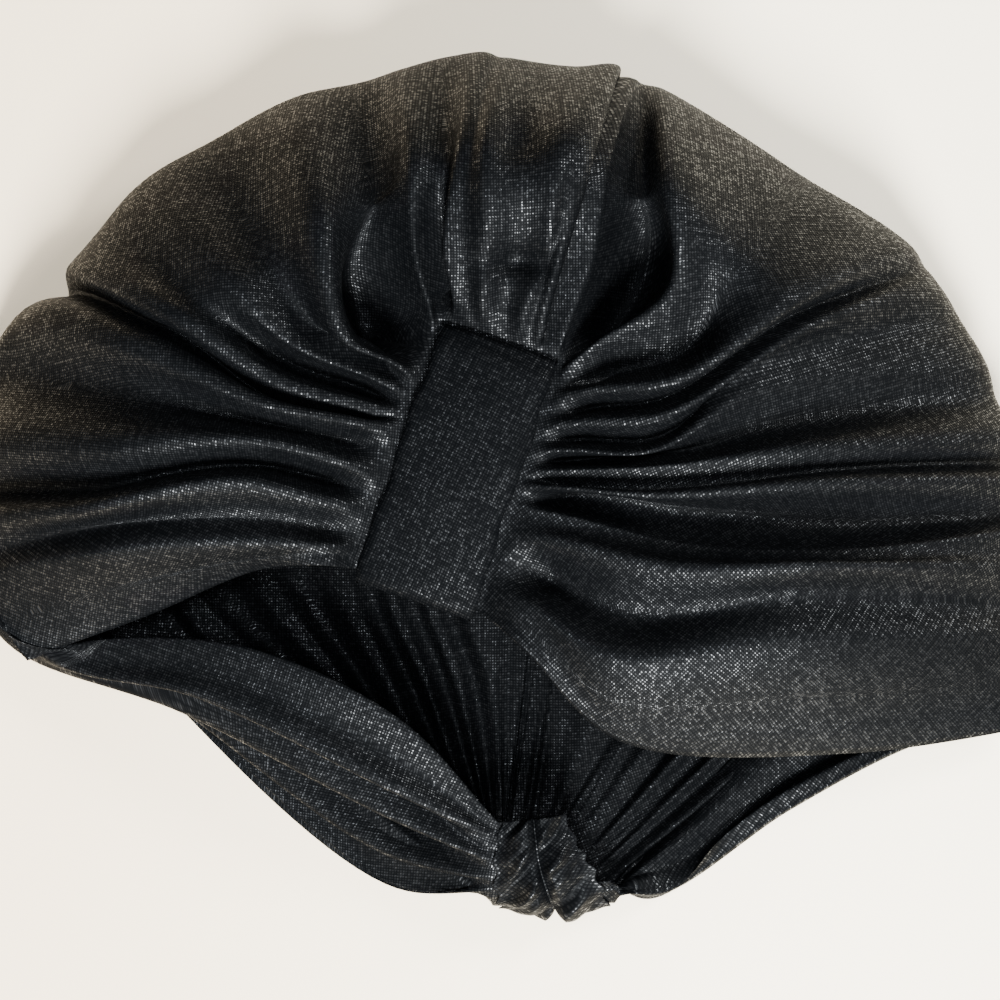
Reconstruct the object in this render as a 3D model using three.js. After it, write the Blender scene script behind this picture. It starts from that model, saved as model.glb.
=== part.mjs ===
// A pre-tied pleated turban of black stretch cloth, lying on its back with the crown toward +Y,
// the front facing up (+Z) and the head opening toward -Y. Millimetres, +Z up.
import * as THREE from 'three';

// Overall size of the wrap as it lies
const HALF_WIDTH = 141;
const HALF_LENGTH = 113;
const HEIGHT = 60;

// Cloth: one gathered layer, the doubled cloth of the tab and of the nape gather, the gaps between layers at
// the tab and at the nape, and the depth that the valleys' shares refer to
const CLOTH_WALL = 1.8;
const TAB_WALL = 2;
const NAPE_WALL = 2.2;
const LAYER_GAP = 0.35;
const NAPE_GAP = 2.0;
const FOLD_DEPTH = 20;

// Front tab: the band over the front gathers, measured along and across itself
const TAB_LENGTH = 66;
const TAB_HALF_WIDTH = 15.5;
const TAB_CENTRE = [-10.5, 1.4];
const TAB_LEAN = THREE.MathUtils.degToRad(18.8);
const TAB_LEVEL = 47.5;
const TAB_BROW_DROP = 9;
const TAB_CROWN_DROP = 1.5;
const TAB_CAMBER = 1.5;
const TAB_OVERLAP = 5;

// Nape gather: the band over the back seam, measured along and across the seam, and widened half way along by
// the flare. The cloth fills this share of the way round it, from its left side at the rim over its far end,
// so the right hem joins it lower down.
const NAPE_HALF_WIDTH = 8;
const NAPE_FLARE = 0.7;
const NAPE_OVERLAP = 4;
const NAPE_FILL = 0.82;
const NAPE_PLEAT_RISE = 0.7;
const NAPE_PLEATS = 5;
const NAPE_GROOVE = 0.25;

// How far the cloth stays outside the edge of the band that covers its gathers, and how round it turns the
// band's corners, as a share of the half width there
const EDGE_MARGIN = 1;
const CORNER_ROUND = 0.1;

// The back seam, from the rim over the nape to its end under the cloth, in shares of the half sizes and of
// the height
const NAPE_SEAM = [
  { x: 0.06, y: -0.76, z: 0.36 },
  { x: 0.07, y: -0.86, z: 0.33 },
  { x: 0.09, y: -0.94, z: 0.24 },
  { x: 0.1, y: -0.965, z: 0.14 },
  { x: 0.1, y: -0.94, z: 0.07 },
  { x: 0.09, y: -0.87, z: 0.025 },
  { x: 0.08, y: -0.78, z: 0.015 },
];

// Pleat crests from the left brow edge over the crown to the right brow edge. tab is the share of the way
// round the tab's sides where the crest starts. near, far and rim are its places toward the outline, in
// shares of the half width, half length and height. dip is the depth of the valley that follows it, in
// shares of the fold depth, near the tab, far from it, at the outline and at the nape. bend says where
// between this crest and the next that valley lies.
const PLEATS = [
  { tab: 0, near: [-0.43, -0.21, 0.55], far: [-0.64, -0.3, 0.35], rim: [-0.87, -0.39, 0.15],
    dip: [0, 0, 0, 0.1], bend: 0.5 },
  { tab: 0.03, near: [-0.43, -0.17, 0.72], far: [-0.69, -0.18, 0.64], rim: [-0.96, -0.24, 0.22],
    dip: [0.28, 0.32, 0.12, 0.44], bend: 0.4 },
  { tab: 0.09, near: [-0.46, -0.04, 0.83], far: [-0.73, -0.09, 0.72], rim: [-1, -0.12, 0.25],
    dip: [0.38, 0.4, 0.34, 0.4], bend: 0.5 },
  { tab: 0.15, near: [-0.42, 0.05, 0.84], far: [-0.67, 0.05, 0.78], rim: [-1, 0.06, 0.28],
    dip: [0.36, 0.4, 0.24, 0.32], bend: 0.56 },
  { tab: 0.22, near: [-0.41, 0.13, 0.85], far: [-0.67, 0.27, 0.78], rim: [-0.92, 0.37, 0.28],
    dip: [0.34, 0.36, 0.3, 0.2], bend: 0.72 },
  { tab: 0.25, near: [-0.39, 0.2, 0.8], far: [-0.59, 0.35, 0.84], rim: [-0.79, 0.54, 0.32],
    dip: [0.38, 0.16, 0.02, 0.18], bend: 0.5 },
  { tab: 0.28, near: [-0.37, 0.27, 0.82], far: [-0.49, 0.41, 0.87], rim: [-0.67, 0.73, 0.3],
    dip: [0.34, 0.34, 0.06, 0.2], bend: 0.45 },
  { tab: 0.31, near: [-0.27, 0.28, 0.88], far: [-0.32, 0.55, 0.95], rim: [-0.39, 0.93, 0.3],
    dip: [0.95, 0.5, 0.04, 0.18], bend: 0.55 },
  { tab: 0.39, near: [-0.15, 0.46, 0.82], far: [-0.16, 0.67, 0.91], rim: [-0.19, 1, 0.3],
    dip: [0.4, 0.22, 0, 0.15], bend: 0.55 },
  { tab: 0.43, near: [-0.1, 0.48, 0.9], far: [-0.07, 0.71, 0.96], rim: [-0.045, 1.04, 0.32],
    dip: [0.08, 0.04, 0, 0.15], bend: 0.5 },
  { tab: 0.465, near: [-0.025, 0.47, 0.95], far: [-0.02, 0.71, 1], rim: [0.025, 1.02, 0.33],
    dip: [0.14, 0.08, 0, 0.05], bend: 0.5 },
  { tab: 0.515, near: [0.08, 0.47, 0.94], far: [0.11, 0.7, 1.01], rim: [0.14, 1, 0.33],
    dip: [0.04, 0, 0, 0], bend: 0.5 },
  { tab: 0.55, near: [0.105, 0.45, 0.92], far: [0.16, 0.68, 1], rim: [0.22, 1.005, 0.33],
    dip: [0.3, 0.26, 0.14, 0], bend: 0.3 },
  { tab: 0.585, near: [0.165, 0.46, 0.82], far: [0.19, 0.65, 0.88], rim: [0.255, 0.975, 0.3],
    dip: [0.9, 0.5, 0.02, 0], bend: 0.44 },
  { tab: 0.61, near: [0.3, 0.39, 0.88], far: [0.295, 0.61, 0.97], rim: [0.31, 0.95, 0.3],
    dip: [0.5, 0.2, 0.03, 0.1], bend: 0.6 },
  { tab: 0.65, near: [0.32, 0.19, 0.87], far: [0.53, 0.37, 0.87], rim: [0.76, 0.58, 0.3],
    dip: [0.3, 0.26, 0.05, 0.12], bend: 0.55 },
  { tab: 0.7, near: [0.29, 0.11, 0.82], far: [0.54, 0.3, 0.82], rim: [0.82, 0.48, 0.3],
    dip: [0.26, 0.14, 0.03, 0.1], bend: 0.5 },
  { tab: 0.74, near: [0.27, 0.03, 0.8], far: [0.47, 0.18, 0.77], rim: [0.9, 0.3, 0.28],
    dip: [0.3, 0.3, 0.08, 0.15], bend: 0.45 },
  { tab: 0.775, near: [0.28, 0, 0.78], far: [0.58, 0.045, 0.77], rim: [0.96, 0.11, 0.28],
    dip: [0.22, 0.26, 0.2, 0.12], bend: 0.45 },
  { tab: 0.8, near: [0.27, -0.07, 0.83], far: [0.58, -0.04, 0.8], rim: [0.98, 0.01, 0.27],
    dip: [0.42, 0.46, 0.15, 0.1], bend: 0.6 },
  { tab: 0.83, near: [0.33, -0.17, 0.73], far: [0.62, -0.18, 0.72], rim: [0.99, -0.09, 0.27],
    dip: [0.04, 0.05, 0.06, 0.15], bend: 0.5 },
  { tab: 0.87, near: [0.29, -0.22, 0.83], far: [0.59, -0.22, 0.82], rim: [0.99, -0.21, 0.25],
    dip: [0.5, 0.34, 0.1, 0.15], bend: 0.55 },
  { tab: 0.955, near: [0.19, -0.43, 0.78], far: [0.53, -0.39, 0.76], rim: [0.99, -0.37, 0.22],
    dip: [0, 0, 0, 0.15], bend: 0.5 },
  { tab: 1, near: [0.21, -0.59, 0.52], far: [0.63, -0.61, 0.35], rim: [0.98, -0.54, 0.15],
    dip: [0, 0, 0, 0], bend: 0.5 },
];

// Behind the outline the pleats beside the opening follow the nape edge, in the same shares. under, side and
// low are their places on the way to the nape. The left edge stands up, and the right one lies flat.
const LEFT_NAPE_EDGE = [
  { under: [-0.73, -0.35, 0.25], side: [-0.45, -0.38, 0.42], low: [-0.18, -0.54, 0.45] },
  { under: [-0.81, -0.4, 0.2], side: [-0.54, -0.49, 0.39], low: [-0.21, -0.69, 0.43] },
  { under: [-0.92, -0.34, 0.08], side: [-0.57, -0.52, 0.22], low: [-0.2, -0.75, 0.3] },
  { under: [-0.98, -0.15, 0.05], side: [-0.59, -0.5, 0.07], low: [-0.22, -0.82, 0.12] },
  { under: [-0.97, 0.11, 0.05], side: [-0.62, -0.46, 0.02], low: [-0.21, -0.9, 0.03] },
];
const RIGHT_NAPE_EDGE = [
  { under: [0.97, -0.24, 0.05], side: [0.56, -0.48, 0.02], low: [0.33, -0.75, 0.02] },
  { under: [0.94, -0.43, 0.05], side: [0.57, -0.63, 0.03], low: [0.35, -0.83, 0.05] },
  { under: [0.79, -0.57, 0.08], side: [0.53, -0.73, 0.08], low: [0.28, -0.93, 0.08] },
];

// The next pleats lie on the surface and run side by side to the nape, seen through the opening
const BACK_PLEATS = [
  { side: [-0.63, -0.15], low: [-0.41, -0.45] },
  { side: [-0.46, -0.15], low: [-0.29, -0.45] },
  { side: [-0.3, -0.15], low: [-0.2, -0.45] },
  { side: [-0.22, -0.15], low: [-0.135, -0.45] },
  { side: [-0.145, -0.15], low: [-0.075, -0.45] },
  { side: [-0.075, -0.15], low: [-0.015, -0.45] },
];

// The other pleats lie on the surface too: where they turn under, and how far on the way to the nape their
// places are
const TURN_UNDER = { inset: 0.95, rise: 0.04 };
const BACK_SHARES = { side: 0.35, low: 0.72 };

// The crest beside the tab: its share of the way from the tab to the near point, its level as a share of the
// higher of the two, and how far it is pulled up to that level
const TAB_SHOULDER = { share: 0.34, rise: 0.93, pull: 0.6 };

// Behind the outline the valleys keep these shares of their depths at the outline and at the nape
const BACK_DIPS = { under: 0.4, side: 0.6 };

// Steps of the cloth along a pleat, from the tab gather to the nape gather, and across one pleat
const STEPS_ALONG = [1, 2, 3, 3, 5, 3, 3, 3, 3, 1];
const STEPS_PER_PLEAT = 4;
const TAB_STEPS = { along: 8, bend: 6, across: 6 };
const NAPE_STEPS = { along: 20, across: 8 };

const CLOTH_COLOUR = 0x17181a;

// A place given in shares of the half sizes and of the height
function place([x, y, z]) {
  return new THREE.Vector3(x * HALF_WIDTH, y * HALF_LENGTH, z * HEIGHT);
}

// Two grids of points, one for each face of a cloth, become one closed body
function closedCloth(outer, inner) {
  const rows = outer.length;
  const columns = outer[0].length;
  const position = [];
  for (const face of [outer, inner]) {
    for (const row of face) {
      for (const point of row) {
        position.push(point.x, point.y, point.z);
      }
    }
  }
  const at = (face, i, j) => (face * rows + i) * columns + j;
  const index = [];
  const quad = (a, b, c, d) => index.push(a, c, b, a, d, c);
  for (let i = 0; i < rows - 1; i += 1) {
    for (let j = 0; j < columns - 1; j += 1) {
      quad(at(0, i, j), at(0, i, j + 1), at(0, i + 1, j + 1), at(0, i + 1, j));
      quad(at(1, i, j), at(1, i + 1, j), at(1, i + 1, j + 1), at(1, i, j + 1));
    }
    quad(at(0, i, 0), at(0, i + 1, 0), at(1, i + 1, 0), at(1, i, 0));
    const last = columns - 1;
    quad(at(0, i, last), at(1, i, last), at(1, i + 1, last), at(0, i + 1, last));
  }
  for (let j = 0; j < columns - 1; j += 1) {
    quad(at(0, 0, j), at(1, 0, j), at(1, 0, j + 1), at(0, 0, j + 1));
    const last = rows - 1;
    quad(at(0, last, j), at(0, last, j + 1), at(1, last, j + 1), at(1, last, j));
  }
  const geometry = new THREE.BufferGeometry();
  geometry.setAttribute('position', new THREE.Float32BufferAttribute(position, 3));
  geometry.setIndex(index);
  geometry.computeVertexNormals();
  return geometry;
}

// A point on the tab's face: along from its brow end, across to the right, lift above that face
function tabPoint(along, across, lift) {
  const share = along / TAB_LENGTH;
  const browPull = (1 - share) ** 2;
  const crownPull = share ** 4;
  const camber = TAB_CAMBER * (across / TAB_HALF_WIDTH) ** 2;
  const level = TAB_LEVEL - TAB_BROW_DROP * browPull - TAB_CROWN_DROP * crownPull - camber;
  const slope = (2 * TAB_BROW_DROP * (1 - share) - 4 * TAB_CROWN_DROP * share ** 3) / TAB_LENGTH;
  const tilt = Math.hypot(1, slope);
  const reach = along - TAB_LENGTH / 2 - (lift * slope) / tilt;
  return new THREE.Vector3(
    TAB_CENTRE[0] + reach * Math.sin(TAB_LEAN) + across * Math.cos(TAB_LEAN),
    TAB_CENTRE[1] + reach * Math.cos(TAB_LEAN) - across * Math.sin(TAB_LEAN),
    level + lift / tilt,
  );
}

// A point on the face of the nape gather: along the back seam from the rim, across to the right, lift outward
const seamCurve = new THREE.CatmullRomCurve3(
  NAPE_SEAM.map(({ x, y, z }) => place([x, y, z])), false, 'centripetal');
const NAPE_LENGTH = seamCurve.getLength();

function napePoint(along, across, lift) {
  const share = THREE.MathUtils.clamp(along / NAPE_LENGTH, 0, 1);
  const tangent = seamCurve.getTangentAt(share);
  const side = new THREE.Vector3(1, 0, 0).addScaledVector(tangent, -tangent.x).normalize();
  const outward = new THREE.Vector3().crossVectors(tangent, side);
  const flare = 1 + NAPE_FLARE * Math.sin(Math.PI * share);
  const point = seamCurve.getPointAt(share).addScaledVector(side, across * flare);
  point.addScaledVector(tangent, along - share * NAPE_LENGTH);
  return point.addScaledVector(outward, lift);
}

// The way round a slit, up its left side, over its end and down its right side, as along and across
function slitPath(share, length, halfWidth) {
  const round = halfWidth * CORNER_ROUND;
  const straight = length - round;
  const arc = (Math.PI / 2) * round;
  const end = 2 * (halfWidth - round);
  const total = 2 * straight + 2 * arc + end;
  const mirrored = share > 0.5;
  const way = (mirrored ? 1 - share : share) * total;
  let along = way;
  let across = -halfWidth;
  if (way > straight + arc) {
    along = length;
    across = -halfWidth + round + way - straight - arc;
  } else if (way > straight) {
    const angle = (way - straight) / round;
    along = straight + round * Math.sin(angle);
    across = -halfWidth + round * (1 - Math.cos(angle));
  }
  return [along, mirrored ? -across : across];
}

// The same way at a distance outside or inside the band's edge, straight across from it along the sides
function besideSlit(share, length, halfWidth, outside) {
  const [along, across] = slitPath(share, length, halfWidth);
  const endPull = (along / length) ** 4;
  return [along + outside * endPull, across * (1 + outside / halfWidth)];
}

// Ends of the cloth under the tab and under the nape gather
function tabGather(share, outside) {
  const [along, across] = besideSlit(share, TAB_LENGTH, TAB_HALF_WIDTH, outside);
  return tabPoint(along, across, -TAB_WALL - LAYER_GAP);
}

function napeGather(share, outside) {
  const [along, across] = besideSlit(share, NAPE_LENGTH, NAPE_HALF_WIDTH, outside);
  return napePoint(along, across, -NAPE_WALL - NAPE_GAP);
}

// One smooth line from crest to crest for each of the places named in the tables
function crestLines() {
  const last = PLEATS.length - 1;
  const nape = (row) => napeGather((NAPE_FILL * row) / last, EDGE_MARGIN);
  const behind = (key) => PLEATS.map((pleat, row) => {
    const edge = LEFT_NAPE_EDGE[row] ?? RIGHT_NAPE_EDGE[row - PLEATS.length + RIGHT_NAPE_EDGE.length];
    if (edge) {
      return place(edge[key]);
    }
    const flat = BACK_PLEATS[row - LEFT_NAPE_EDGE.length];
    if (flat && flat[key]) {
      return place([...flat[key], 0]);
    }
    const rim = place(pleat.rim);
    if (key === 'under') {
      return new THREE.Vector3(rim.x * TURN_UNDER.inset, rim.y * TURN_UNDER.inset, TURN_UNDER.rise * HEIGHT);
    }
    return rim.lerp(nape(row), BACK_SHARES[key]).setZ(0);
  });
  const shoulder = PLEATS.map((pleat) => {
    const near = place(pleat.near);
    const level = Math.max(near.z, TAB_LEVEL) * TAB_SHOULDER.rise;
    const point = tabGather(pleat.tab, EDGE_MARGIN).lerp(near, TAB_SHOULDER.share);
    return point.setZ(THREE.MathUtils.lerp(point.z, level, TAB_SHOULDER.pull));
  });
  const lines = [shoulder];
  for (const key of ['near', 'far', 'rim']) {
    lines.push(PLEATS.map((pleat) => place(pleat[key])));
  }
  for (const key of ['under', 'side', 'low']) {
    lines.push(behind(key));
  }
  return lines.map((points) => new THREE.CatmullRomCurve3(points, false, 'centripetal'));
}

// The smooth cloth along one line from the tab to the nape, without the valleys between the crests
function baseLine(lines, row) {
  const last = PLEATS.length - 1;
  const index = Math.min(Math.floor(row), last - 1);
  const tabShare = THREE.MathUtils.lerp(PLEATS[index].tab, PLEATS[index + 1].tab, row - index);
  const napeShare = (NAPE_FILL * row) / last;
  const guides = [
    tabGather(tabShare, EDGE_MARGIN),
    ...lines.map((line) => line.getPoint(row / last)),
    napeGather(napeShare, EDGE_MARGIN),
  ];
  const curve = new THREE.CatmullRomCurve3(guides, false, 'centripetal');
  const points = [tabGather(tabShare, -TAB_OVERLAP)];
  for (let span = 0; span < guides.length - 1; span += 1) {
    const steps = STEPS_ALONG[span + 1];
    for (let step = 0; step < steps; step += 1) {
      points.push(curve.getPoint((span + step / steps) / (guides.length - 1)));
    }
  }
  points.push(guides[guides.length - 1], napeGather(napeShare, -NAPE_OVERLAP));
  return points;
}

// Depth of the valley at a share of the way from one crest to the next
function valley(share, bend) {
  const warped = share < bend ? (0.5 * share) / bend : 0.5 + (0.5 * (share - bend)) / (1 - bend);
  return Math.sin(Math.PI * warped) ** 2;
}

// Depths at the guide places of one valley, from the tab gather to the nape gather
function valleyDepths([near, far, rim, nape]) {
  const shares = [0, 0, near, near, far, rim, rim * BACK_DIPS.under, nape * BACK_DIPS.side, nape, 0, 0];
  const depths = [shares[0]];
  for (let span = 1; span < shares.length; span += 1) {
    const steps = STEPS_ALONG[span - 1];
    for (let step = 1; step <= steps; step += 1) {
      const ease = THREE.MathUtils.smoothstep(step / steps, 0, 1);
      depths.push(THREE.MathUtils.lerp(shares[span - 1], shares[span], ease));
    }
  }
  return depths.map((share) => share * FOLD_DEPTH);
}

// The wrap: base lines side by side, sunk into valleys between the crests, with the wall inside them
function pleatedWrap() {
  const lines = crestLines();
  const rows = [];
  for (let index = 0; index < PLEATS.length - 1; index += 1) {
    const { bend, dip } = PLEATS[index];
    const depths = valleyDepths(dip);
    for (let step = 0; step < STEPS_PER_PLEAT; step += 1) {
      const half = step / STEPS_PER_PLEAT;
      const share = half < 0.5 ? 2 * half * bend : bend + (2 * half - 1) * (1 - bend);
      rows.push({ base: baseLine(lines, index + share), sink: valley(share, bend), depths });
    }
  }
  rows.push({ base: baseLine(lines, PLEATS.length - 1), sink: 0, depths: valleyDepths([0, 0, 0, 0]) });

  const outer = [];
  const inner = [];
  rows.forEach(({ base, sink, depths }, i) => {
    const before = rows[Math.max(i - 1, 0)].base;
    const after = rows[Math.min(i + 1, rows.length - 1)].base;
    const outerRow = [];
    const innerRow = [];
    base.forEach((point, j) => {
      const along = base[Math.min(j + 1, base.length - 1)].clone().sub(base[Math.max(j - 1, 0)]);
      const across = new THREE.Vector3().subVectors(after[j], before[j]);
      const normal = along.cross(across).normalize().negate();
      const face = point.clone().addScaledVector(normal, -sink * depths[j]);
      const back = face.clone().addScaledVector(normal, -CLOTH_WALL);
      const sunk = Math.max(0, -face.z, -back.z);
      outerRow.push(face.setZ(face.z + sunk));
      innerRow.push(back.setZ(back.z + sunk));
    });
    outer.push(outerRow);
    inner.push(innerRow);
  });
  return closedCloth(outer, inner);
}

// The tab: over the gathers, round the brow edge and back inside, with room for the cloth between its layers
function frontTab() {
  const room = CLOTH_WALL + 2 * LAYER_GAP;
  const bendRadius = TAB_WALL + room / 2;
  const stations = [];
  for (let step = TAB_STEPS.along; step > 0; step -= 1) {
    const along = (TAB_LENGTH * step) / TAB_STEPS.along;
    stations.push({ along, outer: 0, inner: -TAB_WALL });
  }
  for (let step = 0; step <= TAB_STEPS.bend; step += 1) {
    const angle = Math.PI * (0.5 - step / TAB_STEPS.bend);
    const outer = bendRadius * Math.sin(angle) - bendRadius;
    const inner = (room / 2) * Math.sin(angle) - bendRadius;
    const outerAlong = -bendRadius * Math.cos(angle);
    const innerAlong = (-room / 2) * Math.cos(angle);
    stations.push({ along: outerAlong, innerAlong, outer, inner });
  }
  for (let step = 1; step <= TAB_STEPS.along; step += 1) {
    const along = (TAB_LENGTH * step) / TAB_STEPS.along;
    stations.push({ along, outer: -2 * bendRadius, inner: -TAB_WALL - room });
  }
  const face = (key) => stations.map((station) => {
    const along = key === 'inner' ? station.innerAlong ?? station.along : station.along;
    const row = [];
    for (let j = 0; j <= TAB_STEPS.across; j += 1) {
      row.push(tabPoint(along, TAB_HALF_WIDTH * ((2 * j) / TAB_STEPS.across - 1), station[key]));
    }
    return row;
  });
  return closedCloth(face('outer'), face('inner'));
}

// The nape gather: a short band over the back seam, drawn up in pleats across it with a groove at the seam
function napeBunch() {
  const outer = [];
  const inner = [];
  for (let i = 0; i <= NAPE_STEPS.along; i += 1) {
    const along = (NAPE_LENGTH * i) / NAPE_STEPS.along;
    const ripple = Math.sin((Math.PI * NAPE_PLEATS * i) / NAPE_STEPS.along) ** 2;
    const outerRow = [];
    const innerRow = [];
    for (let j = 0; j <= NAPE_STEPS.across; j += 1) {
      const side = (2 * j) / NAPE_STEPS.across - 1;
      const groove = Math.min(1, Math.abs(side) / NAPE_GROOVE) * (1 - side ** 4);
      const across = side * NAPE_HALF_WIDTH;
      outerRow.push(napePoint(along, across, NAPE_PLEAT_RISE * ripple * groove));
      innerRow.push(napePoint(along, across, -NAPE_WALL));
    }
    outer.push(outerRow);
    inner.push(innerRow);
  }
  return closedCloth(outer, inner);
}

function clothPiece(name, geometry) {
  const material = new THREE.MeshStandardMaterial({ color: CLOTH_COLOUR, roughness: 0.62, metalness: 0 });
  const mesh = new THREE.Mesh(geometry, material);
  mesh.name = name;
  return mesh;
}

const turban = new THREE.Group();
turban.add(
  clothPiece('pleated_wrap', pleatedWrap()),
  clothPiece('front_tab', frontTab()),
  clothPiece('nape_gather', napeBunch()),
);

// The origin is the bottom centre of the whole
const box = new THREE.Box3().setFromObject(turban);
const centre = box.getCenter(new THREE.Vector3());
turban.position.set(-centre.x, -centre.y, -box.min.z);

export default turban;
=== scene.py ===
"""A pre-tied pleated turban of black stretch cloth, lying on its back on a pale surface.

The folds are named as they are in the part's source: each row of PLEATS is one crest, from the left brow
edge over the crown to the right brow edge. Lengths are in millimetres where nothing else is said.
"""

import math

import bpy
import numpy as np
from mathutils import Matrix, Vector


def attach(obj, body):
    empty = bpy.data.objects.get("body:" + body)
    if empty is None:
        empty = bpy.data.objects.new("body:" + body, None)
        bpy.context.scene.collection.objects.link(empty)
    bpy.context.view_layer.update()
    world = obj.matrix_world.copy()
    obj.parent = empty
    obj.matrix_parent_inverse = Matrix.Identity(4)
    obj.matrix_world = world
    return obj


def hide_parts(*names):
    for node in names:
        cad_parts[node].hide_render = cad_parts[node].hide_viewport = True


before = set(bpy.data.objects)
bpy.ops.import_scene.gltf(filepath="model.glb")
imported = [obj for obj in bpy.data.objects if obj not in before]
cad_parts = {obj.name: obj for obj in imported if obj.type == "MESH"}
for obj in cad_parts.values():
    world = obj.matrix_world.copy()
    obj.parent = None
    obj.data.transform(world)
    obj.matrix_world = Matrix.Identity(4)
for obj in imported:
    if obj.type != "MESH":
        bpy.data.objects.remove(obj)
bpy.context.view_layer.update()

MM = 0.001

# Overall size of the wrap as it lies, and where its drawing's origin is in the frame
HALF_WIDTH = 141.0
HALF_LENGTH = 113.0
HEIGHT = 60.0
SHIFT = (1.4, -4.234, 0.0)

# Cloth layers and the gaps between them
CLOTH_WALL = 1.5
TAB_WALL = 2.0
NAPE_WALL = 2.2
LAYER_GAP = 0.35
NAPE_GAP = 0.6
FOLD_DEPTH = 20.0
LAP_DEPTH = 5.0

# Front tab
TAB_LENGTH = 66.0
TAB_HALF_WIDTH = 15.5
TAB_CENTRE = (-10.5, 1.4)
TAB_LEAN = math.radians(18.8)
TAB_LEVEL = 47.5
TAB_BROW_DROP = 9.0
TAB_CROWN_DROP = 1.5
TAB_CAMBER = 1.5
TAB_OVERLAP = 5.0

# Nape gather
NAPE_HALF_WIDTH = 8.0
NAPE_FLARE = 0.7
NAPE_OVERLAP = 4.0
NAPE_FILL = 0.82
EDGE_MARGIN = 1.0
CORNER_ROUND = 0.1

# The back seam, from the rim over the nape to its end under the cloth, in shares of the half sizes and height
NAPE_SEAM = (
    (0.06, -0.76, 0.36),
    (0.07, -0.86, 0.33),
    (0.09, -0.94, 0.24),
    (0.1, -0.965, 0.14),
    (0.1, -0.94, 0.07),
    (0.09, -0.87, 0.025),
    (0.08, -0.78, 0.015),
)

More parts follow.
